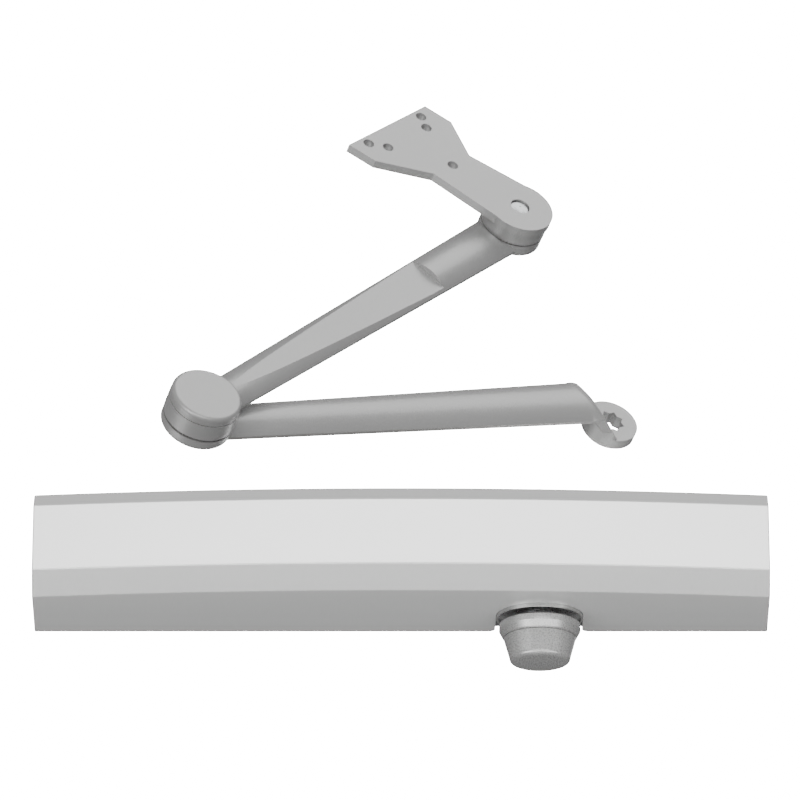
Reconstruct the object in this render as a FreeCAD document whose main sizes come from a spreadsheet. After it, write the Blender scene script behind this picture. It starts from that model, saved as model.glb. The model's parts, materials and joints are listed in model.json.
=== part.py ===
"""Surface door closer with a slim bowed cover and a two-piece parallel arm.

Frame: origin at the centre of the closer's back face, +X along the closer,
+Y into the door, +Z up.  The front of the cover faces -Y.
The arm set is drawn off its spindle, as a kit part hovering above the closer:
its pivot axes are all parallel to one tilted direction, the arm axis.
"""
import FreeCAD, Part

import math
import os

from FreeCAD import Matrix, Placement, Rotation, Vector

# ---------------------------------------------------------------- dimensions
# alias, value in mm, degrees or a count, what it is
DIMENSIONS = [
    ("cover_length", 311.0, "length of the cover along X, at the door"),
    ("cover_height", 45.0, "height of the cover"),
    ("cover_depth", 66.0, "door face to the middle of the front face"),
    ("cover_bow_radius", 1348.0, "radius of the bowed front face"),
    ("cover_wall", 2.0, "wall of the cover"),
    ("cover_gap", 0.4, "gap between the cover's rear rim and the door"),
    ("chamfer_depth", 10.5, "slanted edge of the front, along Y"),
    ("chamfer_height", 8.4, "slanted edge of the front, along Z"),
    ("end_draft", 2.2, "the cover's ends lean in by this angle"),
    ("cover_edge_radius", 0.7, "rounding of the cover's outer edges"),
    ("slot_radius", 18.4, "slot in the cover round the spindle"),
    ("slot_corner", 3.0, "rounding of the slot's mouth"),
    ("spindle_x", 58.3, "spindle axis from the closer's middle"),
    ("spindle_depth", 21.0, "spindle axis from the door"),
    ("housing_half", 121.0, "half the length of the cast cylinder"),
    ("housing_radius", 20.0, "outside radius of the cast cylinder"),
    ("bore_radius", 16.5, "cylinder bore"),
    ("bore_depth", 26.0, "cylinder axis from the door"),
    ("foot_length", 20.0, "mounting foot past the cylinder"),
    ("foot_thickness", 9.0, "mounting foot, along Y"),
    ("foot_height", 32.0, "mounting foot, along Z"),
    ("mount_x", 131.0, "mounting hole from the middle"),
    ("mount_z", 9.5, "mounting hole from the middle"),
    ("mount_radius", 3.4, "mounting hole"),
    ("running", 0.05, "radial running clearance"),
    ("plug_length", 12.0, "end plug"),
    ("piston_left", 30.0, "piston's spring face"),
    ("piston_length", 75.0, "piston"),
    ("gear_module", 1.5, "rack and pinion module"),
    ("gear_teeth", 10.0, "pinion teeth"),
    ("journal_radius", 8.4, "spindle in its bearings"),
    ("bearing_radius", 11.0, "outside of the spindle bearing"),
    ("boss_radius", 14.0, "housing boss round the bearing"),
    ("boss_top", 22.0, "boss end from the middle height"),
    ("collar_radius", 18.15, "collar that shows in the slot"),
    ("collar_end", 24.1, "outer face of the collar"),
    ("collar_inner", 17.35, "inside of the collar's rim"),
    ("collar_round", 0.3, "rounding of the collar's rim"),
    ("star_radius", 5.8, "points of the eight-point drive"),
    ("cap_top", 25.7, "cap band starts this far below the middle height"),
    ("cap_seam", 32.2, "seam between band and cone"),
    ("cap_end", 43.2, "end of the cap"),
    ("cap_top_radius", 17.05, "band at its top"),
    ("cap_seam_radius", 15.5, "cap at the seam"),
    ("cap_end_radius", 12.9, "cap at its end"),
    ("cap_round", 2.2, "rounding of the cap's end"),
    ("spring_wire", 3.6, "closing spring wire"),
    ("spring_radius", 11.6, "closing spring mean radius"),
    ("spring_turns", 13.0, "closing spring turns"),
    ("seat_face", -100.0, "spring seat face at rest"),
    ("valve_radius", 2.5, "regulating valve"),
    ("valve_length", 13.0, "regulating valve"),
    ("main_arm_length", 198.2, "socket to elbow"),
    ("forearm_length", 206.6, "elbow to shoe pivot"),
    ("main_width_socket", 22.4, "main arm width at the bend"),
    ("main_width_elbow", 17.6, "main arm width at the elbow"),
    ("forearm_width_elbow", 16.2, "forearm width at the elbow"),
    ("forearm_width_shoe", 21.6, "forearm width at the shoe"),
    ("bar_edge", 1.5, "thickness of an arm at its edges"),
    ("bar_crown", 3.4, "rise of an arm's crowned top"),
    ("bend_radius", 4.0, "inside of the main arm's bend"),
    ("bend_start", 20.2, "main arm's bend from the socket's axis"),
    ("web_slope", 50.0, "the web between bar and socket falls at this angle"),
    ("web_skew", 10.7, "the bend runs askew by this angle"),
    ("forearm_rise", 2.0, "forearm's underside above the foot of its elbow end"),
    ("socket_radius", 11.7, "disc at the spindle end of the main arm"),
    ("socket_thickness", 6.0, "disc at the spindle end of the main arm"),
    ("socket_drop", 13.6, "disc top below the arm's underside level"),
    ("elbow_radius", 14.7, "round ends of the arms at the elbow"),
    ("elbow_main", 5.0, "main arm's round end"),
    ("elbow_gap", 1.2, "washer between the arms"),
    ("elbow_fore", 7.6, "forearm's round end"),
    ("elbow_cap", 4.2, "elbow cap"),
    ("pin_radius", 5.0, "elbow pin"),
    ("step_start", 142.0, "flat on the forearm starts here"),
    ("step_end", 148.6, "thicker half of the forearm starts here"),
    ("step_crown", 0.9, "rise of the forearm's top at the flat"),
    ("thick_crown", 3.9, "rise of the thicker half's top"),
    ("eye_round", 2.0, "rounding under the main arm's elbow end"),
    ("socket_chamfer", 1.2, "chamfer under the socket disc"),
    ("shoe_thickness", 4.0, "shoe plate"),
    ("shoe_end_radius", 14.7, "shoe plate's round end"),
    ("shoe_length", 67.2, "shoe pivot to the wide edge"),
    ("shoe_skew", 13.5, "the foot's wide end is cut askew by this angle"),
    ("shoe_square", 53.8, "shoe pivot to where the plate narrows"),
    ("shoe_neck", 34.5, "shoe pivot to the start of the neck"),
    ("shoe_half_width", 25.0, "half the wide edge"),
    ("shoe_neck_half", 11.8, "half the neck"),
    ("shoe_hole", 2.4, "screw hole in the shoe"),
    ("shoe_hub", 5.6, "hub under the shoe plate"),
    ("shoe_eye", 5.2, "forearm's round end at the shoe"),
    ("shoe_pin", 3.2, "shoe pivot pin"),
    ("shoe_head", 3.9, "shoe pin's head"),
    ("elbow_cap_round", 1.6, "rounding of the elbow cap"),
    ("nut_round", 1.0, "rounding of the shoe pin's nut"),
]

MAIN_ARM_TURN = -143.83
FOREARM_TURN = 63.71
SHOE_TURN = 165.74
SOCKET_PLACE = Vector(87.96, -60.0, 50.68)
ARM_AXIS = Vector(0.3116, -0.8479, 0.4289)
ARM_ACROSS = Vector(0.9367, 0.1232, -0.3276)

doc = FreeCAD.newDocument("door_closer")
sheet = doc.addObject("Spreadsheet::Sheet", "Dims")
DIM = {}
for row, (alias, amount, meaning) in enumerate(DIMENSIONS, start=1):
    sheet.set(f"A{row}", meaning)
    sheet.set(f"B{row}", str(amount))
    sheet.setAlias(f"B{row}", alias)
    DIM[alias] = amount
doc.recompute()

NODES = {}
ALONG_X = Rotation(Vector(0, 1, 0), 90)
ALONG_Y = Rotation(Vector(1, 0, 0), -90)
UPRIGHT = Rotation()


# ------------------------------------------------------------------- helpers
def bind(obj, **sizes):
    """Bind each named property to an expression of the sheet's aliases."""
    for prop, formula in sizes.items():
        text = str(formula)
        for alias in sorted(DIM, key=len, reverse=True):
            text = replace_word(text, alias)
        obj.setExpression(prop, text)
    return obj


def replace_word(text, alias):
    """Put the sheet's name before an alias that stands alone in a formula."""
    pieces = []
    word = ""
    for char in text + " ":
        if char.isalnum() or char in "_.":
            word += char
            continue
        pieces.append("Dims." + word if word == alias else word)
        pieces.append(char)
        word = ""
    return "".join(pieces).strip()


def cylinder(name, radius, height, at, turn=UPRIGHT):
    body = doc.addObject("Part::Cylinder", name)
    bind(body, Radius=radius, Height=height)
    body.Placement = Placement(Vector(*at), turn)
    return body


def cone(name, radius_low, radius_high, height, at, turn=UPRIGHT):
    body = doc.addObject("Part::Cone", name)
    bind(body, Radius1=radius_low, Radius2=radius_high, Height=height)
    body.Placement = Placement(Vector(*at), turn)
    return body


def block(name, length, width, height, at):
    body = doc.addObject("Part::Box", name)
    bind(body, Length=length, Width=width, Height=height)
    body.Placement = Placement(Vector(*at), UPRIGHT)
    return body


def torus(name, around, section, at, turn=UPRIGHT):
    body = doc.addObject("Part::Torus", name)
    bind(body, Radius1=around, Radius2=section)
    body.Placement = Placement(Vector(*at), turn)
    return body


def fuse(name, parts):
    body = doc.addObject("Part::MultiFuse", name)
    body.Shapes = parts
    body.Refine = True
    return body


def common(name, parts):
    body = doc.addObject("Part::MultiCommon", name)
    body.Shapes = parts
    return body


def cut(name, base, tools):
    body = doc.addObject("Part::Cut", name)
    body.Base = base
    body.Tool = tools[0] if len(tools) == 1 else fuse(name + "_tools", tools)
    return body


def ring(name, outer, inner, height, at, turn=UPRIGHT):
    """A plain bush or washer; the bore runs past both faces."""
    body = cylinder(name + "_outside", outer, height, at, turn)
    hole = cylinder(name + "_hole", inner, height, at, turn)
    return cut(name, body, [hole])


def feature(name, shape):
    body = doc.addObject("Part::Feature", name)
    body.Shape = shape
    return body


def group(name, parts):
    """Identical separate solids that share one node."""
    body = doc.addObject("Part::Compound", name)
    body.Links = parts
    return body


def node(name, body, place=None):
    body.Label = name
    if place is not None:
        body.Placement = place.multiply(body.Placement)
    NODES[name] = body
    return body


def fillet_where(name, base, radius_alias, wanted):
    """Round the edges of base that the test wants."""
    doc.recompute()
    numbers = [i for i, edge in enumerate(base.Shape.Edges, start=1) if wanted(edge)]
    body = doc.addObject("Part::Fillet", name)
    body.Base = base
    body.Edges = [(number, DIM[radius_alias], DIM[radius_alias]) for number in numbers]
    return body


def face_from(points):
    return Part.Face(Part.makePolygon(points + points[:1]))


# -------------------------------------------------------------- cover
def cover_solid(name, inset):
    """Bowed, chamfered block: the front is a drum about a far vertical axis."""
    front = DIM["cover_depth"] + 20.0
    lean = f"tan(end_draft)*{front}"
    rear = DIM["cover_gap"]
    half = DIM["cover_height"] / 2 - inset
    wedge = doc.addObject("Part::Wedge", name + "_wedge")
    bind(
        wedge,
        Xmin=f"-cover_length/2+{inset}+{lean}",
        Xmax=f"cover_length/2-{inset}-{lean}",
        X2min=f"-cover_length/2+{inset}",
        X2max=f"cover_length/2-{inset}",
        Zmin=f"-cover_height/2+{inset}",
        Zmax=f"cover_height/2-{inset}",
        Z2min=f"-cover_height/2+{inset}",
        Z2max=f"cover_height/2-{inset}",
        Ymin=f"-{front}",
        Ymax=f"-{rear}" if inset == 0 else f"{inset}",
    )
    axis_y = DIM["cover_bow_radius"] - DIM["cover_depth"]
    reach = f"cover_bow_radius-{inset}"
    slope = DIM["chamfer_depth"] / DIM["chamfer_height"]
    # an inner surface parallel to the slanted edge, wall thickness away
    slant = math.hypot(1.0, slope)
    shift = inset * slant - inset * slope
    narrow = f"cover_bow_radius-chamfer_depth-{shift}"
    wide = f"cover_bow_radius-chamfer_depth-{shift}+{2 * half * slope}"
    drum = cylinder(name + "_drum", reach, f"cover_height-2*{inset}", (0, axis_y, -half))
    lower = cone(name + "_lower", narrow, wide, f"cover_height-2*{inset}", (0, axis_y, -half))
    upper = cone(name + "_upper", wide, narrow, f"cover_height-2*{inset}", (0, axis_y, -half))
    return common(name, [wedge, drum, lower, upper])


def is_outer_crease(edge):
    """Edges of the bare block that show: everything but the rear rim."""
    box = edge.BoundBox
    return box.YMin < -DIM["cover_gap"] - 1.0


def is_slot_corner(edge):
    box = edge.BoundBox
    upright = box.XLength < 0.01 and box.YLength < 0.01
    at_rim = abs(box.YMin + DIM["cover_gap"]) < 0.01
    beside = abs(abs(box.XMin - DIM["spindle_x"]) - DIM["slot_radius"]) < 0.01
    return upright and at_rim and beside


def make_cover():
    outside = cover_solid("cover_block", 0.0)
    rounded = fillet_where("cover_rounded", outside, "cover_edge_radius", is_outer_crease)
    inside = cover_solid("cover_hollow", DIM["cover_wall"])
    x, y = DIM["spindle_x"], -DIM["spindle_depth"]
    tall = "cover_height+4"
    low = -DIM["cover_height"] / 2 - 2
    round_end = cylinder("slot_round", "slot_radius", tall, (x, y, low))
    mouth = block("slot_mouth", "2*slot_radius", "spindle_depth+2", tall,
                  (x - DIM["slot_radius"], y, low))
    shell = cut("cover_shell", rounded, [inside, round_end, mouth])
    node("cover", fillet_where("cover_final", shell, "slot_corner", is_slot_corner))


# ------------------------------------------------------------ closer body
def make_housing():
    half, axis_y = DIM["housing_half"], -DIM["bore_depth"]
    drum = cylinder("housing_drum", "housing_radius", "2*housing_half",
                    (-half, axis_y, 0), ALONG_X)
    back = block("housing_back", "2*housing_half", "bore_depth", "2*housing_radius",
                 (-half, axis_y, -DIM["housing_radius"]))
    feet = block("housing_feet", "2*housing_half+2*foot_length", "foot_thickness", "foot_height",
                 (-half - DIM["foot_length"], -DIM["foot_thickness"], -DIM["foot_height"] / 2))
    x, y = DIM["spindle_x"], -DIM["spindle_depth"]
    boss = cylinder("housing_boss", "boss_radius", "2*boss_top", (x, y, -DIM["boss_top"]))
    solid = fuse("housing_solid", [drum, back, feet, boss])
    bore = cylinder("housing_bore", "bore_radius", "2*housing_half+2",
                    (-half - 1, axis_y, 0), ALONG_X)
    bearing = cylinder("housing_bearing_bore", "bearing_radius", "2*boss_top+2",
                       (x, y, -DIM["boss_top"] - 1))
    holes = []
    for side in (-1, 1):
        for level in (-1, 1):
            place = (side * DIM["mount_x"], -DIM["foot_thickness"] - 1, level * DIM["mount_z"])
            holes.append(cylinder("mount_hole", "mount_radius", "foot_thickness+2", place, ALONG_Y))
        tap_x = DIM["housing_half"] + 10.0 if side > 0 else -DIM["housing_half"] - 21.0
        holes.append(cylinder("bracket_tap", "2", "11", (tap_x, -4.5, 0), ALONG_X))
    for _, place_x in VALVES:
        place = (place_x, VALVE_Y, -DIM["housing_radius"] - 1)
        holes.append(cylinder("valve_hole", "valve_radius+running", "valve_length+1.6", place))
    node("housing", cut("housing", solid, [bore, bearing] + holes))


VALVE_Y = -4.6
VALVES = [("latch_valve", 84.0), ("sweep_valve", 95.0), ("backcheck_valve", 106.0)]


def make_valves():
    """Three slotted needle valves in the underside of the housing."""
    seals = []
    for name, place_x in VALVES:
        low = -DIM["housing_radius"]
        groove_z = low + 4.0
        shank = cylinder(name + "_shank", "valve_radius", "valve_length-3", (place_x, VALVE_Y, low))
        tip = cone(name + "_tip", "valve_radius", "0.6", "3",
                   (place_x, VALVE_Y, low + DIM["valve_length"] - 3))
        slot = block(name + "_slot", "2*valve_radius+1", "0.8", "1.5",
                     (place_x - DIM["valve_radius"] - 0.5, VALVE_Y - 0.4, low - 0.5))
        groove = ring(name + "_groove", "valve_radius+1", "valve_radius-0.9", "1.5",
                      (place_x, VALVE_Y, groove_z))
        body = fuse(name + "_body", [shank, tip])
        node(name, cut(name, body, [slot, groove]))
        seals.append(torus(name + "_seal", "valve_radius-0.42", "0.42",
                           (place_x, VALVE_Y, groove_z + 0.75)))
    node("valve_seals", group("valve_seals", seals))


def make_end_plugs():
    half, axis_y = DIM["housing_half"], -DIM["bore_depth"]
    length = DIM["plug_length"]
    seals = []
    for name, side in (("spring_end_plug", -1), ("valve_end_plug", 1)):
        inner_face = side * half if side < 0 else half - length
        body = cylinder(name + "_body", "bore_radius", "plug_length",
                        (inner_face, axis_y, 0), ALONG_X)
        groove_x = inner_face + (length - 2.6 if side < 0 else 0.0) + (0 if side < 0 else 0.6)
        groove = ring(name + "_groove", "bore_radius+1", "bore_radius-1.6", "2",
                      (groove_x, axis_y, 0), ALONG_X)
        tools = [groove]
        if side < 0:
            tools.append(cylinder(name + "_thread", "4+running", "plug_length+2",
                                  (inner_face - 1, axis_y, 0), ALONG_X))
        else:
            tools.append(block(name + "_key", "4", "8", "8",
                               (half - 4, axis_y - 4, -4)))
        node(name, cut(name, body, tools))
        seals.append(torus(name + "_seal", "bore_radius-0.82", "0.76",
                           (groove_x + 1.0, axis_y, 0), ALONG_X))
    node("end_plug_seals", group("end_plug_seals", seals))


def make_cover_brackets():
    """Two angle brackets hold the cover's ends; one screw each."""
    brackets, screws = [], []
    outer = DIM["housing_half"] + DIM["foot_length"]
    for side in (-1, 1):
        plate_x = outer if side > 0 else -outer - 2
        tab_x = outer if side > 0 else -outer - 9.5
        plate = block("bracket_plate", "2", "38", "28", (plate_x, -38.6, -14))
        tab = block("bracket_tab", "9.5", "2", "28", (tab_x, -40.6, -14))
        hole = cylinder("bracket_hole", "2.1", "4", (plate_x - 1, -4.5, 0), ALONG_X)
        window = block("bracket_window", "4", "18", "14", (plate_x - 1, -32, -7))
        brackets.append(cut("bracket", fuse("bracket_solid", [plate, tab]), [hole, window]))
        shank_x = outer - 8 if side > 0 else -outer - 2
        head_x = outer + 2 if side > 0 else -outer - 4
        shank = cylinder("bracket_shank", "1.95", "10", (shank_x, -4.5, 0), ALONG_X)
        head = cylinder("bracket_head", "3.6", "2", (head_x, -4.5, 0), ALONG_X)
        screws.append(fuse("bracket_screw", [shank, head]))
    node("cover_brackets", group("cover_brackets", brackets))
    node("bracket_screws", group("bracket_screws", screws))


# ------------------------------------------------------- spindle and pinion
def star_points(radius, turn=0.0):
    """Eight-point star: two squares on one centre."""
    points = []
    inner = radius * 0.765
    for step in range(16):
        reach = radius if step % 2 == 0 else inner
        angle = math.radians(turn + step * 22.5)
        points.append(Vector(reach * math.cos(angle), reach * math.sin(angle), 0))
    return points


def involute_angle(radius, base):
    pressure = math.acos(min(1.0, base / radius))
    return math.tan(pressure) - pressure


BACKLASH = 0.2
PRESSURE = math.radians(20.0)
RACK_ADDENDUM = 0.8
RACK_DEDENDUM = 1.35


def pinion_points():
    module, teeth = DIM["gear_module"], int(DIM["gear_teeth"])
    pitch = module * teeth / 2
    base = pitch * math.cos(PRESSURE)
    tip, root = pitch + 1.2, pitch - 1.2
    half_tooth = (math.pi * module / 2 - BACKLASH) / (2 * pitch)
    start = half_tooth + involute_angle(pitch, base)
    flank = [root] + [base + (tip - base) * step / 5 for step in range(6)]
    points = []
    for tooth in range(teeth):
        middle = math.radians(-90.0 + 360.0 * tooth / teeth)
        rising = [(reach, middle - start + involute_angle(max(reach, base), base))
                  for reach in flank]
        falling = [(reach, 2 * middle - angle) for reach, angle in reversed(rising)]
        points += [Vector(reach * math.cos(angle), reach * math.sin(angle), 0)
                   for reach, angle in rising + falling]
    return points


def make_spindle():
    x, y = DIM["spindle_x"], -DIM["spindle_depth"]
    pinion_half, journal_end, star_top, star_low = 10.8, 24.1, 28.5, 34.6
    pinion = feature("pinion", face_from(pinion_points()).extrude(Vector(0, 0, 2 * pinion_half)))
    pinion.Placement = Placement(Vector(x, y, -pinion_half), UPRIGHT)
    parts = [pinion]
    for low, high in ((-journal_end, -pinion_half), (pinion_half, journal_end)):
        parts.append(cylinder("journal", "journal_radius", high - low, (x, y, low)))
    for low, high in ((-star_low, -journal_end), (journal_end, star_top)):
        star = feature("star_end", face_from(star_points(DIM["star_radius"])).extrude(
            Vector(0, 0, high - low)))
        star.Placement = Placement(Vector(x, y, low), UPRIGHT)
        parts.append(star)
    thread = cylinder("spindle_thread", "3", "14", (x, y, star_top - 13))
    node("spindle", cut("spindle", fuse("spindle_solid", parts), [thread]))
    washer = ring("arm_washer", "7.6", "3.2", "1.2", (x, y, star_top))
    node("arm_screw_washer", washer)
    head = cylinder("arm_screw_head", "5.6", "2.7", (x, y, star_top + 1.2))
    shank = cylinder("arm_screw_shank", "2.95", "13", (x, y, star_top - 11.8))
    socket = feature("arm_screw_socket", face_from(
        [Vector(2.9 * math.cos(math.radians(60 * k)), 2.9 * math.sin(math.radians(60 * k)), 0)
         for k in range(6)]).extrude(Vector(0, 0, 3)))
    socket.Placement = Placement(Vector(x, y, star_top + 2.2), UPRIGHT)
    node("arm_screw", cut("arm_screw", fuse("arm_screw_solid", [head, shank]), [socket]))


def make_bearings():
    x, y = DIM["spindle_x"], -DIM["spindle_depth"]
    seals = []
    for name, side in (("upper_bearing", 1), ("lower_bearing", -1)):
        low = 16.7 if side > 0 else -20.2
        node(name, ring(name, "bearing_radius", "journal_radius+running", "3.5", (x, y, low)))
        seal_low = 20.3 if side > 0 else -21.9
        seals.append(ring(name + "_seal", "bearing_radius", "journal_radius+running", "1.6",
                          (x, y, seal_low)))
    node("spindle_seals", group("spindle_seals", seals))
    for name, side in (("upper_collar", 1), ("lower_collar", -1)):
        end = DIM["collar_end"]
        skirt_low = 20.2 if side > 0 else -end
        lip_low = DIM["boss_top"] if side > 0 else -DIM["boss_top"] - 0.9
        skirt = ring(name + "_skirt", "collar_radius", "collar_inner", end - 20.2, (x, y, skirt_low))
        lip = ring(name + "_lip", "collar_inner+0.1", "journal_radius+running", "0.9",
                   (x, y, lip_low))
        solid = fuse(name + "_solid", [skirt, lip])
        outer_z = side * end

        def is_outer_edge(edge, level=outer_z):
            box = edge.BoundBox
            wide = box.XLength > 2 * DIM["collar_radius"] - 0.1
            return wide and abs(box.ZMin - level) < 0.01 and box.ZLength < 0.01

        node(name, fillet_where(name, solid, "collar_round", is_outer_edge))


def revolved(name, outline, place):
    """A turned piece: outline is (radius, height) points, closed on the axis side."""
    points = [Vector(reach, 0, level) for reach, level in outline]
    turned = face_from(points).revolve(Vector(), Vector(0, 0, 1), 360)
    body = feature(name, turned)
    body.Placement = place
    return body


def make_cap():
    """Cap over the free spindle end: a band, a seam and a rounded cone."""
    x, y = DIM["spindle_x"], -DIM["spindle_depth"]
    place = Placement(Vector(x, y, 0), UPRIGHT)
    top, seam, end = DIM["cap_top"], DIM["cap_seam"], DIM["cap_end"]
    wide, middle, narrow = DIM["cap_top_radius"], DIM["cap_seam_radius"], DIM["cap_end_radius"]
    hole = DIM["star_radius"] + 0.2
    band = revolved("cap_band", [
        (hole, -top), (wide - 0.9, -top), (wide, -top - 0.8), (wide + 0.15, -top - 3.4),
        (middle + 0.35, -seam + 0.5), (middle, -seam), (hole, -seam)], place)
    node("cap_band", band)
    inset = 0.25
    round_off = DIM["cap_round"]
    corner = [(narrow - round_off + round_off * math.cos(math.radians(turn)),
               -end + round_off - round_off * math.sin(math.radians(turn)))
              for turn in range(0, 91, 15)]
    outline = [(hole, -seam), (middle - inset - 0.35, -seam), (middle - inset, -seam - 0.35)]
    outline += corner
    outline += [(0, -end - 0.5), (0, -seam - 3.0), (hole, -seam - 3.0)]
    node("spindle_cap", revolved("spindle_cap", outline, place))


# ---------------------------------------------------- piston, spring, screw
def rack_tooth(place_x):
    """One tooth of the rack, pointing back at the pinion, as a solid."""
    tangent = math.tan(PRESSURE)
    module = DIM["gear_module"]
    half = (math.pi * module / 2 - BACKLASH) / 2
    pitch_y = -DIM["spindle_depth"] - module * DIM["gear_teeth"] / 2
    root_y, tip_y = pitch_y - RACK_DEDENDUM - 0.2, pitch_y + RACK_ADDENDUM
    root_half = half + (RACK_DEDENDUM + 0.2) * tangent
    tip_half = half - RACK_ADDENDUM * tangent
    height = 10.2
    corners = [(-root_half, root_y), (root_half, root_y), (tip_half, tip_y), (-tip_half, tip_y)]
    face = face_from([Vector(place_x + dx, y, -height) for dx, y in corners])
    return face.extrude(Vector(0, 0, 2 * height))


def make_piston():
    left, axis_y = DIM["piston_left"], -DIM["bore_depth"]
    module, x = DIM["gear_module"], DIM["spindle_x"]
    pitch_y = -DIM["spindle_depth"] - module * DIM["gear_teeth"] / 2
    body = cylinder("piston_body", "bore_radius-running", "piston_length",
                    (left, axis_y, 0), ALONG_X)
    slot_y = pitch_y - RACK_DEDENDUM
    slot = block("piston_slot", "44", -11.4 - slot_y, "2*bore_radius+2",
                 (x - 10.6, slot_y, -DIM["bore_radius"] - 1))
    recess = cylinder("piston_recess", "6", "8", (left - 1, axis_y - 3, 0), ALONG_X)
    passage = cylinder("check_passage", "2", "8",
                       (left + DIM["piston_length"] - 7.9, axis_y - 9, 0), ALONG_X)
    pocket = cylinder("check_pocket", "3.1", "6",
                      (left + DIM["piston_length"] - 5, axis_y - 9, 0), ALONG_X)
    grooves = []
    seals = []
    for groove_x in (left + 9.0, left + DIM["piston_length"] - 9.0):
        grooves.append(ring("piston_groove", "bore_radius+1", "bore_radius-1.6", "1.8",
                            (groove_x, axis_y, 0), ALONG_X))
        seals.append(ring("piston_ring", "bore_radius-running", "bore_radius-1.5", "1.7",
                          (groove_x + 0.05, axis_y, 0), ALONG_X))
    bare = cut("piston_bare", body, [slot, recess, passage, pocket] + grooves)
    gear_pitch = math.pi * module
    teeth = [feature("rack_tooth", rack_tooth(x + (step - 1.5) * gear_pitch)) for step in range(8)]
    node("piston", fuse("piston", [bare] + teeth))
    node("piston_rings", group("piston_rings", seals))
    ball = doc.addObject("Part::Sphere", "check_ball")
    bind(ball, Radius="2.6")
    end = left + DIM["piston_length"]
    ball.Placement = Placement(Vector(end - 2.3, axis_y - 9, 0), UPRIGHT)
    node("check_ball", ball)


def make_spring():
    seat, face = DIM["seat_face"], DIM["piston_left"]
    wire = DIM["spring_wire"] / 2
    span = face - seat - 2 * wire - 0.4
    reach = DIM["spring_radius"]
    helix = Part.makeHelix(span / DIM["spring_turns"], span, reach)
    section = Part.Wire(Part.makeCircle(wire, Vector(reach, 0, 0), Vector(0, 1, 0)))
    coil = Part.Wire(helix).makePipeShell([section], True, True)
    body = feature("closing_spring", coil)
    body.Placement = Placement(Vector(seat + wire + 0.2, -DIM["bore_depth"], 0), ALONG_X)
    node("closing_spring", body)


def make_spring_adjuster():
    """Screw through the end plug that drives the threaded spring seat."""
    half, axis_y, seat = DIM["housing_half"], -DIM["bore_depth"], DIM["seat_face"]
    disc = cylinder("seat_disc", "bore_radius-0.4", "4", (seat - 4, axis_y, 0), ALONG_X)
    boss = cylinder("seat_boss", "8.4", "8", (seat - 0.01, axis_y, 0), ALONG_X)
    thread = cylinder("seat_thread", "4+running", "14", (seat - 5, axis_y, 0), ALONG_X)
    node("spring_seat", cut("spring_seat", fuse("seat_solid", [disc, boss]), [thread]))
    shank = cylinder("adjuster_shank", "4", half + seat + 7.6,
                     (-half - 0.6, axis_y, 0), ALONG_X)
    head = cylinder("adjuster_head", "6.5", "4", (-half - 4.6, axis_y, 0), ALONG_X)
    key = feature("adjuster_key", face_from(
        [Vector(2.4 * math.cos(math.radians(60 * k)), 2.4 * math.sin(math.radians(60 * k)), 0)
         for k in range(6)]).extrude(Vector(0, 0, 3)))
    key.Placement = Placement(Vector(-half - 5.6, axis_y, 0), ALONG_X)
    node("power_adjuster", cut("power_adjuster", fuse("adjuster_solid", [shank, head]), [key]))


# -------------------------------------------------------------------- arms
def arm_rotation():
    """Columns: across, the third direction, and the arm axis itself."""
    axis = Vector(ARM_AXIS).normalize()
    across = Vector(ARM_ACROSS)
    across = across.sub(Vector(axis).multiply(across.dot(axis))).normalize()
    third = axis.cross(across)
    frame = Matrix(across.x, third.x, axis.x, 0,
                   across.y, third.y, axis.y, 0,
                   across.z, third.z, axis.z, 0,
                   0, 0, 0, 1)
    return Placement(frame).Rotation


ARM_ROTATION = arm_rotation()


def arm_place(start, turn):
    """Placement with local x along an arm that leaves start at this turn."""
    return Placement(start, ARM_ROTATION.multiply(Rotation(Vector(0, 0, 1), turn)))


def arm_point(place, along, level):
    return place.multVec(Vector(along, 0, level))


SOCKET = arm_place(SOCKET_PLACE.add(ARM_ROTATION.multVec(Vector(0, 0, DIM["socket_drop"]))),
                   MAIN_ARM_TURN)
ELBOW = arm_place(arm_point(SOCKET, DIM["main_arm_length"], 0), FOREARM_TURN)
FORE_LEVEL = DIM["elbow_main"] / 2 + DIM["elbow_gap"]
SHOE = arm_place(arm_point(ELBOW, DIM["forearm_length"], 0), SHOE_TURN)
BEND_STEPS = 5


def crown_section(width, rise, along, base, edge):
    """Flat-bottomed bar section with an arched top, in the plane x = along."""
    half = width / 2
    low_left, low_right = Vector(along, -half, base), Vector(along, half, base)
    left, right = Vector(along, -half, base + edge), Vector(along, half, base + edge)
    top = Vector(along, 0, base + edge + rise)
    edges = [Part.LineSegment(left, low_left).toShape(),
             Part.LineSegment(low_left, low_right).toShape(),
             Part.LineSegment(low_right, right).toShape(),
             Part.Arc(right, top, left).toShape()]
    return Part.Wire(edges)


def crowned_bar(name, start, end, widths, rises, base):
    """Tapered crowned bar from x = start to x = end."""
    wires = [crown_section(width, rise, along, base, DIM["bar_edge"])
             for width, rise, along in zip(widths, rises, (start, end))]
    return feature(name, Part.makeLoft(wires, True, True))


def bent_section(turned, width, rise, edge, slide=0.0):
    """The main arm's section after it has turned down by this angle and slid on."""
    base = -DIM["elbow_main"] / 2
    bend, start = DIM["bend_radius"], DIM["bend_start"]
    skew = math.tan(math.radians(DIM["web_skew"]))
    angle = math.radians(turned)

    def place(across, height):
        reach = bend + height
        along = start - reach * math.sin(angle) - slide * math.cos(angle) - skew * across
        level = base - bend + reach * math.cos(angle) - slide * math.sin(angle)
        return Vector(along, across, level)

    half = width / 2
    low_left, low_right = place(-half, 0), place(half, 0)
    left, right, top = place(-half, edge), place(half, edge), place(0, edge + rise)
    return Part.Wire([Part.LineSegment(left, low_left).toShape(),
                      Part.LineSegment(low_left, low_right).toShape(),
                      Part.LineSegment(low_right, right).toShape(),
                      Part.Arc(right, top, left).toShape()])


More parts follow.
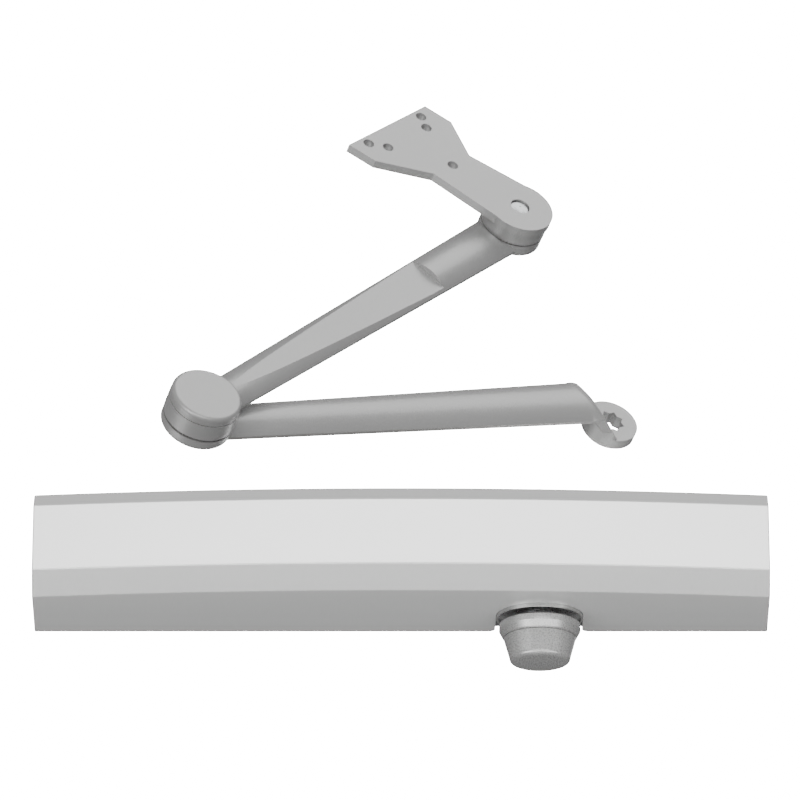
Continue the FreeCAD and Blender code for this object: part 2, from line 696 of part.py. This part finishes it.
def make_main_arm():
    base = -DIM["elbow_main"] / 2
    reach, wide = DIM["main_arm_length"], DIM["main_width_socket"]
    crown, edge = DIM["bar_crown"], DIM["bar_edge"]
    bar_ends = [bent_section(0, wide, crown, edge),
                crown_section(DIM["main_width_elbow"], crown, reach, base, edge)]
    bar = feature("main_bar", Part.makeLoft(bar_ends, True, True))
    # the bar turns down through the bend and runs on to the socket as a slanted web
    drop = DIM["socket_drop"] + DIM["socket_thickness"]
    slope = DIM["web_slope"]
    sections = []
    for step in range(BEND_STEPS + 1):
        share = step / BEND_STEPS
        sections.append(bent_section(slope * share, wide - 0.6 * share,
                                     crown * (1 - 0.7 * share), edge + 0.7 * crown * share))
    quarter = feature("main_bend", Part.makeLoft(sections, True))
    run = 24.0
    web_end = bent_section(slope, wide - 0.6, crown * 0.3, edge + 0.7 * crown, run)
    web = feature("main_web", Part.makeLoft([sections[-1], web_end], True, True))
    round_limit = cylinder("main_web_limit", "socket_radius", "60", (0, 0, -drop + 2))
    above = cylinder("main_web_above", "60", "60", (0, 0, -DIM["socket_drop"] + 5.0))
    web_low = common("main_web_low", [web, round_limit])
    web_high = common("main_web_high", [web, above])
    gusset_face = face_from([Vector(4.2, -15, -drop + 1), Vector(14, -15, -drop + 1),
                             Vector(14, -15, base + 0.4), Vector(12.6, -15, base + 0.4)])
    gusset = common("main_gusset", [
        feature("main_gusset_block", gusset_face.extrude(Vector(0, 30, 0))),
        cylinder("main_gusset_limit", "socket_radius", "60", (0, 0, -drop + 2))])
    foot = cone("socket_foot", "socket_radius-socket_chamfer", "socket_radius", "socket_chamfer",
                (0, 0, -drop))
    disc = cylinder("socket_disc", "socket_radius", "socket_thickness-socket_chamfer",
                    (0, 0, -drop + DIM["socket_chamfer"]))

    def is_eye_bottom(edge):
        box = edge.BoundBox
        return abs(box.ZMin - base) < 0.01 and box.ZLength < 0.01

    eye = fillet_where("main_eye", cylinder("main_eye_blank", "elbow_radius-0.1", "elbow_main",
                                            (reach, 0, base)), "eye_round", is_eye_bottom)
    star = feature("socket_star", face_from(star_points(DIM["star_radius"] + 0.12, 8.0)).extrude(
        Vector(0, 0, DIM["socket_thickness"] + 12)))
    star.Placement = Placement(Vector(0, 0, -drop - 1), UPRIGHT)
    hole = cylinder("main_eye_hole", "pin_radius", "elbow_main+6", (reach, 0, base - 1))
    trim = cylinder("main_eye_trim", "elbow_radius+1", "6", (reach, 0, -base))
    solid = fuse("main_arm_solid", [bar, quarter, web_low, web_high, gusset, foot, disc, eye])
    node("main_arm", cut("main_arm", solid, [star, hole, trim]), SOCKET)


def make_elbow():
    main_top = DIM["elbow_main"] / 2
    fore_base, fore_top = FORE_LEVEL, FORE_LEVEL + DIM["elbow_fore"]
    head = cylinder("elbow_rivet_foot", "7.5", "1.6", (0, 0, -main_top - 1.6))
    shank = cylinder("elbow_rivet_shank", "pin_radius", 2 * main_top + DIM["elbow_gap"]
                     + DIM["elbow_fore"] - 1.2, (0, 0, -main_top))
    node("elbow_pin", fuse("elbow_pin", [head, shank]), ELBOW)
    washer = ring("elbow_washer", "elbow_radius-1.2", "pin_radius+running", DIM["elbow_gap"] - 0.04,
                  (0, 0, main_top + 0.02))
    node("elbow_washer", washer, ELBOW)
    bush = ring("elbow_bush", "pin_radius+1.8", "pin_radius+running", "elbow_fore", (0, 0, fore_base))
    node("elbow_bush", bush, ELBOW)
    neck = cylinder("elbow_cap_neck", "elbow_radius-0.7", "0.5", (0, 0, fore_top))
    disc = cylinder("elbow_cap_disc", "elbow_radius-0.15", "elbow_cap-0.35", (0, 0, fore_top + 0.35))
    cap = fuse("elbow_cap_blank", [neck, disc])

    def is_cap_top(edge, level=fore_top + DIM["elbow_cap"]):
        return abs(edge.BoundBox.ZMin - level) < 0.01

    node("elbow_cap", fillet_where("elbow_cap_body", cap, "elbow_cap_round", is_cap_top), ELBOW)


def make_forearm():
    reach = DIM["forearm_length"]
    base, step = FORE_LEVEL + DIM["forearm_rise"], DIM["step_start"]
    narrow, wide = DIM["forearm_width_elbow"], DIM["forearm_width_shoe"]
    crown, thick = DIM["bar_crown"], DIM["thick_crown"]
    bar = crowned_bar("forearm_bar", 0, reach, (narrow, wide), (crown, thick), base)
    # the slim half's top is milled down towards the step, which ends in an upright face
    flat, step_end = base + DIM["bar_edge"] + DIM["step_crown"], DIM["step_end"]
    mill_face = face_from([Vector(20, -20, base + DIM["bar_edge"] + crown), Vector(step, -20, flat),
                           Vector(step_end, -20, flat), Vector(step_end, -20, flat + 12),
                           Vector(20, -20, flat + 12)])
    mill = feature("forearm_mill", mill_face.extrude(Vector(0, 40, 0)))
    eye = cylinder("forearm_eye", "elbow_radius", "elbow_fore", (0, 0, FORE_LEVEL))
    far_eye = cylinder("forearm_far_eye", "shoe_end_radius-0.6", "shoe_eye",
                       (reach, 0, FORE_LEVEL + 0.7))
    bush_hole = cylinder("forearm_bush_hole", "pin_radius+1.8", "20", (0, 0, FORE_LEVEL - 2))
    far_hole = cylinder("forearm_far_hole", "shoe_pin+1.2", "20", (reach, 0, FORE_LEVEL - 2))
    far_trim = cylinder("forearm_far_trim", "shoe_end_radius+0.8", "10",
                        (reach, 0, FORE_LEVEL + 0.7 + DIM["shoe_eye"]))
    solid = fuse("forearm_solid", [cut("forearm_milled", bar, [mill]), eye, far_eye])
    node("forearm", cut("forearm", solid, [bush_hole, far_hole, far_trim]), ELBOW)


def shoe_outline():
    """Half of the plate's edge from the wide end to the neck, then mirrored."""
    return [(DIM["shoe_length"], DIM["shoe_half_width"]),
            (DIM["shoe_square"], DIM["shoe_half_width"]),
            (DIM["shoe_neck"], DIM["shoe_neck_half"])]


def askew(along, across):
    """A point of the foot, moved along to follow its skewed wide end."""
    return along + across * math.tan(math.radians(DIM["shoe_skew"])), across


def make_shoe():
    eye_base = FORE_LEVEL + 0.7
    eye_top = eye_base + DIM["shoe_eye"]
    gap = 0.8
    hub_base = eye_top + gap
    plate_base = hub_base + DIM["shoe_hub"]
    half = shoe_outline()
    foot = [askew(u, v) for u, v in half]
    foot_back = [askew(u, -v) for u, v in reversed(half)]
    near_end = (4.0, DIM["shoe_end_radius"] - 0.7)
    outline = foot + [near_end, (near_end[0], -near_end[1])] + foot_back
    points = [Vector(u, v, plate_base) for u, v in outline]
    blank = feature("shoe_blank", face_from(points).extrude(Vector(0, 0, DIM["shoe_thickness"])))
    end = cylinder("shoe_end", "shoe_end_radius", "shoe_thickness", (0, 0, plate_base))
    hub = cylinder("shoe_hub", "shoe_end_radius-0.5", "shoe_hub", (0, 0, hub_base))
    tools = []
    for u, v in SHOE_HOLES:
        tools.append(cylinder("shoe_screw_hole", "shoe_hole", "shoe_thickness+2",
                              (*askew(u, v), plate_base - 1)))
    tools.append(cylinder("shoe_pin_hole", "shoe_pin", "30", (0, 0, hub_base - 1)))
    tools.append(cylinder("shoe_head_recess", "shoe_head+0.3", "4",
                          (0, 0, plate_base + DIM["shoe_thickness"] - 2.4)))
    solid = fuse("shoe_solid", [blank, end, hub])
    node("shoe", cut("shoe", solid, tools), SHOE)
    washer = ring("shoe_washer", "shoe_end_radius-1.4", "shoe_pin+running", gap - 0.04,
                  (0, 0, eye_top + 0.02))
    node("shoe_washer", washer, SHOE)
    bush = ring("shoe_bush", "shoe_pin+1.2", "shoe_pin+running", "shoe_eye", (0, 0, eye_base))
    node("shoe_bush", bush, SHOE)
    top = plate_base + DIM["shoe_thickness"]
    low = eye_base - 0.8
    shank = cylinder("shoe_shank", "shoe_pin", top - 2.4 - low, (0, 0, low))
    head = cylinder("shoe_pin_rim", "shoe_head", "0.9", (0, 0, top - 2.4))
    dome = common("shoe_dome", [
        feature("dome_ball", Part.makeSphere(16.0, Vector(0, 0, top - 0.3 - 16.0))),
        cylinder("dome_limit", "shoe_head", "3", (0, 0, top - 1.5))])
    node("shoe_pin", fuse("shoe_pin", [shank, head, dome]), SHOE)
    thrust = ring("shoe_lower_washer", "shoe_pin+4", "shoe_pin+running", "0.74", (0, 0, low + 0.03))
    node("shoe_lower_washer", thrust, SHOE)
    nut = cylinder("shoe_nut_body", "shoe_pin+2.6", "3.2", (0, 0, low - 3.2))

    def is_nut_bottom(edge, level=low - 3.2):
        return abs(edge.BoundBox.ZMin - level) < 0.01 and edge.BoundBox.ZLength < 0.01

    node("shoe_nut", fillet_where("shoe_nut", nut, "nut_round", is_nut_bottom), SHOE)


SHOE_HOLES = [(63.2, 17.2), (63.2, -17.2), (57.0, 12.6), (57.0, -12.6), (34.0, 0.0)]


# ------------------------------------------------------------ build, check
def build():
    make_cover()
    make_housing()
    make_valves()
    make_end_plugs()
    make_cover_brackets()
    make_spindle()
    make_bearings()
    make_cap()
    make_piston()
    make_spring()
    make_spring_adjuster()
    make_main_arm()
    make_elbow()
    make_forearm()
    make_shoe()
    doc.recompute()


def check():
    for obj in doc.Objects:
        if "Invalid" in obj.State or "Error" in obj.State:
            raise RuntimeError(f"{obj.Label} did not compute: {obj.State}")
    for name, body in NODES.items():
        shape = body.Shape
        if shape.isNull() or not shape.isValid():
            raise RuntimeError(f"{name} has no valid shape")
        if not shape.Solids:
            raise RuntimeError(f"{name} holds no solid")


def export():
    os.makedirs("parts", exist_ok=True)
    for name, body in NODES.items():
        body.Shape.exportStep(f"parts/{name}.step")


build()
check()
export()
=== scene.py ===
"""Looks of the door closer: satin silver paint, turned steel, black washers, soft studio light."""

import json
import math

import bpy
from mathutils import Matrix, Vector

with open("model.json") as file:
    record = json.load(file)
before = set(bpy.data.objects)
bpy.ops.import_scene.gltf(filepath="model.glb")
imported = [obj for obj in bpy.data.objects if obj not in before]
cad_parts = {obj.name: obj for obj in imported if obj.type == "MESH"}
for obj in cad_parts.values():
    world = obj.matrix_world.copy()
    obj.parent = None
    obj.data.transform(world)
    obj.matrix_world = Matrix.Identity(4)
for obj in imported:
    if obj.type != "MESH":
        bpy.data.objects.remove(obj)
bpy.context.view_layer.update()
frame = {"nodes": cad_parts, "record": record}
MM = 0.001


CLOUD_SCALE = 18.0          # noise cells per metre of the slow change of tone
FLAKE_SCALE = 2600.0        # of the paint's metal flake
LATHE_STRETCH = (1.0, 1.0, 26.0)
NOISE_MIDDLE = (0.3, 0.7)   # where nearly all of a noise texture's values lie


# ------------------------------------------------------------------ node tools
def new_material(name):
    """A node material with its tree and its main shader."""
    material = bpy.data.materials.new(name)
    material.use_nodes = True
    tree = material.node_tree
    shader = tree.nodes["Principled BSDF"]
    return material, tree, shader


def noise(tree, scale, detail=3.0, stretch=(1.0, 1.0, 1.0)):
    """Noise in object space; stretch draws it out along the axes."""
    coords = tree.nodes.new("ShaderNodeTexCoord")
    mapping = tree.nodes.new("ShaderNodeMapping")
    mapping.inputs["Scale"].default_value = stretch
    texture = tree.nodes.new("ShaderNodeTexNoise")
    texture.inputs["Scale"].default_value = scale
    texture.inputs["Detail"].default_value = detail
    tree.links.new(coords.outputs["Object"], mapping.inputs["Vector"])
    tree.links.new(mapping.outputs["Vector"], texture.inputs["Vector"])
    return texture.outputs["Fac"]


def remap(tree, source, low, high):
    """The noise factor, spread from its middle range to low..high."""
    spread = tree.nodes.new("ShaderNodeMapRange")
    spread.inputs["From Min"].default_value = NOISE_MIDDLE[0]
    spread.inputs["From Max"].default_value = NOISE_MIDDLE[1]
    spread.inputs["To Min"].default_value = low
    spread.inputs["To Max"].default_value = high
    tree.links.new(source, spread.inputs["Value"])
    return spread.outputs["Result"]


def tint(tree, factor, dark, light):
    """A colour between dark and light, by the factor."""
    mix = tree.nodes.new("ShaderNodeMix")
    mix.data_type = "RGBA"
    mix.inputs["A"].default_value = (*dark, 1.0)
    mix.inputs["B"].default_value = (*light, 1.0)
    tree.links.new(factor, mix.inputs["Factor"])
    return mix.outputs["Result"]


def bump(tree, shader, height, strength, distance):
    """Relief on the shader's normal; distance is the depth in metres."""
    node = tree.nodes.new("ShaderNodeBump")
    node.inputs["Strength"].default_value = strength
    node.inputs["Distance"].default_value = distance
    tree.links.new(height, node.inputs["Height"])
    tree.links.new(node.outputs["Normal"], shader.inputs["Normal"])


def finish_surface(name, colour, metallic, roughness, grain, stretch=(1.0, 1.0, 1.0),
                   spread=0.05, bump_strength=0.08, bump_depth=0.02 * MM, variation=0.04,
                   coat=0.0, coat_roughness=0.2):
    """A metal, paint or rubber surface with uneven tone, roughness and a fine relief."""
    material, tree, shader = new_material(name)
    shader.inputs["Metallic"].default_value = metallic
    shader.inputs["Coat Weight"].default_value = coat
    shader.inputs["Coat Roughness"].default_value = coat_roughness
    cloud = noise(tree, CLOUD_SCALE, 2.0)
    dark = tuple(value * (1.0 - variation) for value in colour)
    light = tuple(min(1.0, value * (1.0 + variation)) for value in colour)
    tone = tint(tree, remap(tree, cloud, 0.0, 1.0), dark, light)
    tree.links.new(tone, shader.inputs["Base Color"])
    fine = noise(tree, grain, 4.0, stretch)
    tree.links.new(remap(tree, fine, roughness - spread, roughness + spread),
                   shader.inputs["Roughness"])
    bump(tree, shader, fine, bump_strength, bump_depth)
    return material


# ------------------------------------------------------------------- materials
def silver_paint(name, level, roughness, metallic, coat):
    """Metallic silver enamel: fine flake grain under a thin clear coat."""
    return finish_surface(name, (level, level * 1.005, level * 0.998), metallic, roughness, FLAKE_SCALE,
                          spread=0.03, bump_strength=0.06, bump_depth=0.008 * MM,
                          variation=0.012, coat=coat, coat_roughness=0.1)


def build_materials():
    """One material for each material slot of the record."""
    return {
        "silver_paint": silver_paint("silver_cover", 0.80, 0.42, 0.3, 0.7),
        "silver_paint_cap": silver_paint("silver_cap", 0.40, 0.28, 0.45, 0.4),
        "silver_paint_arm": silver_paint("silver_arm", 0.52, 0.40, 0.4, 0.4),
        "cast_body": finish_surface("cast_body", (0.30, 0.31, 0.31), 0.5, 0.55, 700.0,
                                    spread=0.1, bump_strength=0.5, bump_depth=0.15 * MM,
                                    variation=0.12),
        "zinc": finish_surface("zinc_plate", (0.62, 0.63, 0.65), 1.0, 0.33, 900.0,
                               variation=0.08, spread=0.08),
        "machined_steel": finish_surface("machined_steel", (0.52, 0.53, 0.54), 1.0, 0.3, 500.0,
                                         stretch=LATHE_STRETCH, spread=0.09, bump_strength=0.2,
                                         bump_depth=0.03 * MM),
        "rivet_steel": finish_surface("rivet_steel", (0.60, 0.61, 0.62), 1.0, 0.24, 800.0,
                                      variation=0.06),
        "spring_steel": finish_surface("spring_steel", (0.16, 0.17, 0.18), 1.0, 0.38, 900.0,
                                       variation=0.15),
        "collar_aluminium": finish_surface("collar_aluminium", (0.60, 0.61, 0.60), 1.0, 0.3,
                                           420.0, stretch=LATHE_STRETCH, spread=0.07,
                                           bump_strength=0.15, bump_depth=0.02 * MM),
        "bronze": finish_surface("sintered_bronze", (0.45, 0.29, 0.13), 1.0, 0.46, 2600.0,
                                 bump_strength=0.4, bump_depth=0.04 * MM, variation=0.12),
        "seal_rubber": finish_surface("seal_rubber", (0.018, 0.018, 0.019), 0.0, 0.62, 1500.0,
                                      bump_strength=0.25, bump_depth=0.05 * MM, variation=0.2),
        "black_washer": finish_surface("black_washer", (0.012, 0.012, 0.012), 0.0, 0.5, 1800.0,
                                       bump_strength=0.2, bump_depth=0.04 * MM, variation=0.2),
        "seal_polymer": finish_surface("seal_polymer", (0.62, 0.57, 0.47), 0.0, 0.45, 1400.0,
                                       variation=0.06),
    }


def dress_nodes(materials):
    """Every CAD node takes the procedural material of its record slot."""
    slots = {row["node"]: row["material_slot"] for row in frame["record"]["subparts"]}
    for name, obj in frame["nodes"].items():
        obj.data.materials.clear()
        obj.data.materials.append(materials[slots[name]])


# ----------------------------------------------------------------------- stage
ELEVATION = math.radians(-20.6)     # the camera looks up at the closer
CAMERA_DISTANCE = 2.3
VIEW_WIDTH = 0.3394                 # metres across the picture at the aim
SENSOR_WIDTH = 36.0                 # millimetres
AIM = Vector((-0.0004, -0.0346, 0.0696))
TOWARD_CAMERA = Vector((0.0, -math.cos(ELEVATION), math.sin(ELEVATION)))


def add_camera():
    """A long lens, level with the world and below the closer."""
    data = bpy.data.cameras.new("camera")
    data.sensor_width = SENSOR_WIDTH
    data.lens = data.sensor_width * CAMERA_DISTANCE / VIEW_WIDTH
    data.clip_end = 100.0
    camera = bpy.data.objects.new("camera", data)
    camera.location = AIM + TOWARD_CAMERA * CAMERA_DISTANCE
    camera.rotation_euler = (-TOWARD_CAMERA).to_track_quat("-Z", "Y").to_euler()
    bpy.context.scene.collection.objects.link(camera)
    bpy.context.scene.camera = camera


def add_area(name, place, aim, size, power, shape_ratio=1.0, only=None):
    """A rectangular bank; with only, it lights and is shaded by those pieces alone."""
    data = bpy.data.lights.new(name, "AREA")
    data.shape = "RECTANGLE"
    data.size = size
    data.size_y = size * shape_ratio
    data.energy = power
    light = bpy.data.objects.new(name, data)
    light.location = place
    direction = Vector(aim) - Vector(place)
    light.rotation_euler = direction.to_track_quat("-Z", "Y").to_euler()
    bpy.context.scene.collection.objects.link(light)
    if only is not None:
        light.light_linking.receiver_collection = only
        light.light_linking.blocker_collection = only
    return light


ARM_BODIES = ("main_arm", "forearm", "shoe")


def piece_groups():
    """The arm set and the closer, so that each has its own lights."""
    bodies = frame["record"]["behaviour"]["bodies"]
    arms = {name for body in ARM_BODIES for name in bodies[body]}
    groups = {}
    for label, wanted in (("arm_pieces", True), ("closer_pieces", False)):
        groups[label] = bpy.data.collections.new(label)
        for name, obj in frame["nodes"].items():
            if (name in arms) == wanted:
                groups[label].objects.link(obj)
    return groups["arm_pieces"], groups["closer_pieces"]


FLOOR_HALF_WIDTH = 30.0
FLOOR_LEVEL = -1.4
FLOOR_DARK, FLOOR_LIGHT = (0.77, 0.77, 0.77), (0.80, 0.80, 0.80)


def add_floor():
    """Pale floor well below the closer, which hangs at door-top height."""
    mesh = bpy.data.meshes.new("floor")
    half, level = FLOOR_HALF_WIDTH, FLOOR_LEVEL
    corners = [(-half, -half, level), (half, -half, level), (half, half, level), (-half, half, level)]
    mesh.from_pydata(corners, [], [(0, 1, 2, 3)])
    floor = bpy.data.objects.new("floor", mesh)
    bpy.context.scene.collection.objects.link(floor)
    material, tree, shader = new_material("pale_floor")
    cloud = noise(tree, 3.0, 2.0)
    tone = tint(tree, remap(tree, cloud, 0.0, 1.0), FLOOR_DARK, FLOOR_LIGHT)
    tree.links.new(tone, shader.inputs["Base Color"])
    shader.inputs["Roughness"].default_value = 0.9
    mesh.materials.append(material)


BACKDROP_STRENGTH = 24.0    # pure white through the view transform
STUDIO_STRENGTH = 0.36
SKY_STOPS = [(0.0, 0.95), (0.3, 0.38), (0.5, 0.55), (0.8, 0.8), (1.0, 0.7)]  # straight down to up


def add_world():
    """White backdrop for the camera, soft grey studio for the light and reflections."""
    world = bpy.data.worlds.new("studio")
    world.use_nodes = True
    tree = world.node_tree
    tree.nodes.clear()
    output = tree.nodes.new("ShaderNodeOutputWorld")
    paths = tree.nodes.new("ShaderNodeLightPath")
    mix = tree.nodes.new("ShaderNodeMixShader")
    seen = tree.nodes.new("ShaderNodeBackground")
    seen.inputs["Color"].default_value = (1.0, 1.0, 1.0, 1.0)
    seen.inputs["Strength"].default_value = BACKDROP_STRENGTH
    soft = tree.nodes.new("ShaderNodeBackground")
    soft.inputs["Strength"].default_value = STUDIO_STRENGTH
    coords = tree.nodes.new("ShaderNodeTexCoord")
    split = tree.nodes.new("ShaderNodeSeparateXYZ")
    ramp = tree.nodes.new("ShaderNodeValToRGB")
    elements = ramp.color_ramp.elements
    while len(elements) < len(SKY_STOPS):
        elements.new(0.5)
    for element, (place, level) in zip(elements, SKY_STOPS):
        element.position = place
        element.color = (level, level, level, 1.0)
    spread = tree.nodes.new("ShaderNodeMapRange")
    spread.inputs["From Min"].default_value = -1.0
    links = tree.links
    links.new(coords.outputs["Generated"], split.inputs["Vector"])
    links.new(split.outputs["Z"], spread.inputs["Value"])
    links.new(spread.outputs["Result"], ramp.inputs["Fac"])
    links.new(ramp.outputs["Color"], soft.inputs["Color"])
    links.new(paths.outputs["Is Camera Ray"], mix.inputs["Fac"])
    links.new(soft.outputs["Background"], mix.inputs[1])
    links.new(seen.outputs["Background"], mix.inputs[2])
    links.new(mix.outputs["Shader"], output.inputs["Surface"])
    bpy.context.scene.world = world


def add_lights():
    """Size is in metres and power in watts; each line also has its height to width ratio."""
    arms, closer = piece_groups()
    body_middle, arm_middle = (0.0, -0.04, 0.0), (0.0, -0.08, 0.08)
    add_area("front_bank", (0.1, -2.2, 0.85), body_middle, 2.6, 75.0, 0.45, closer)
    add_area("under_strip", (0.0, -0.24, -0.20), (0.0, -0.06, -0.02), 1.1, 1.6, 0.08, closer)
    add_area("cap_strip", (-0.7, -0.9, -0.55), body_middle, 0.2, 1.2, 2.4, closer)
    add_area("arm_front", (0.2, -2.4, 0.3), arm_middle, 2.0, 24.0, 0.7, arms)
    add_area("arm_top", (0.9, -0.4, 2.1), arm_middle, 1.5, 15.0, 1.0, arms)
    add_area("rim_bank", (-1.0, -2.1, -0.35), arm_middle, 0.3, 12.0, 2.4, arms)
    add_area("streak_strip", (-1.5, -0.1, -0.95), arm_middle, 0.16, 4.0, 5.0, arms)
    add_area("back_bank", (0.6, 2.2, 1.2), arm_middle, 1.8, 8.0)


dress_nodes(build_materials())
add_floor()
add_world()
add_lights()
add_camera()
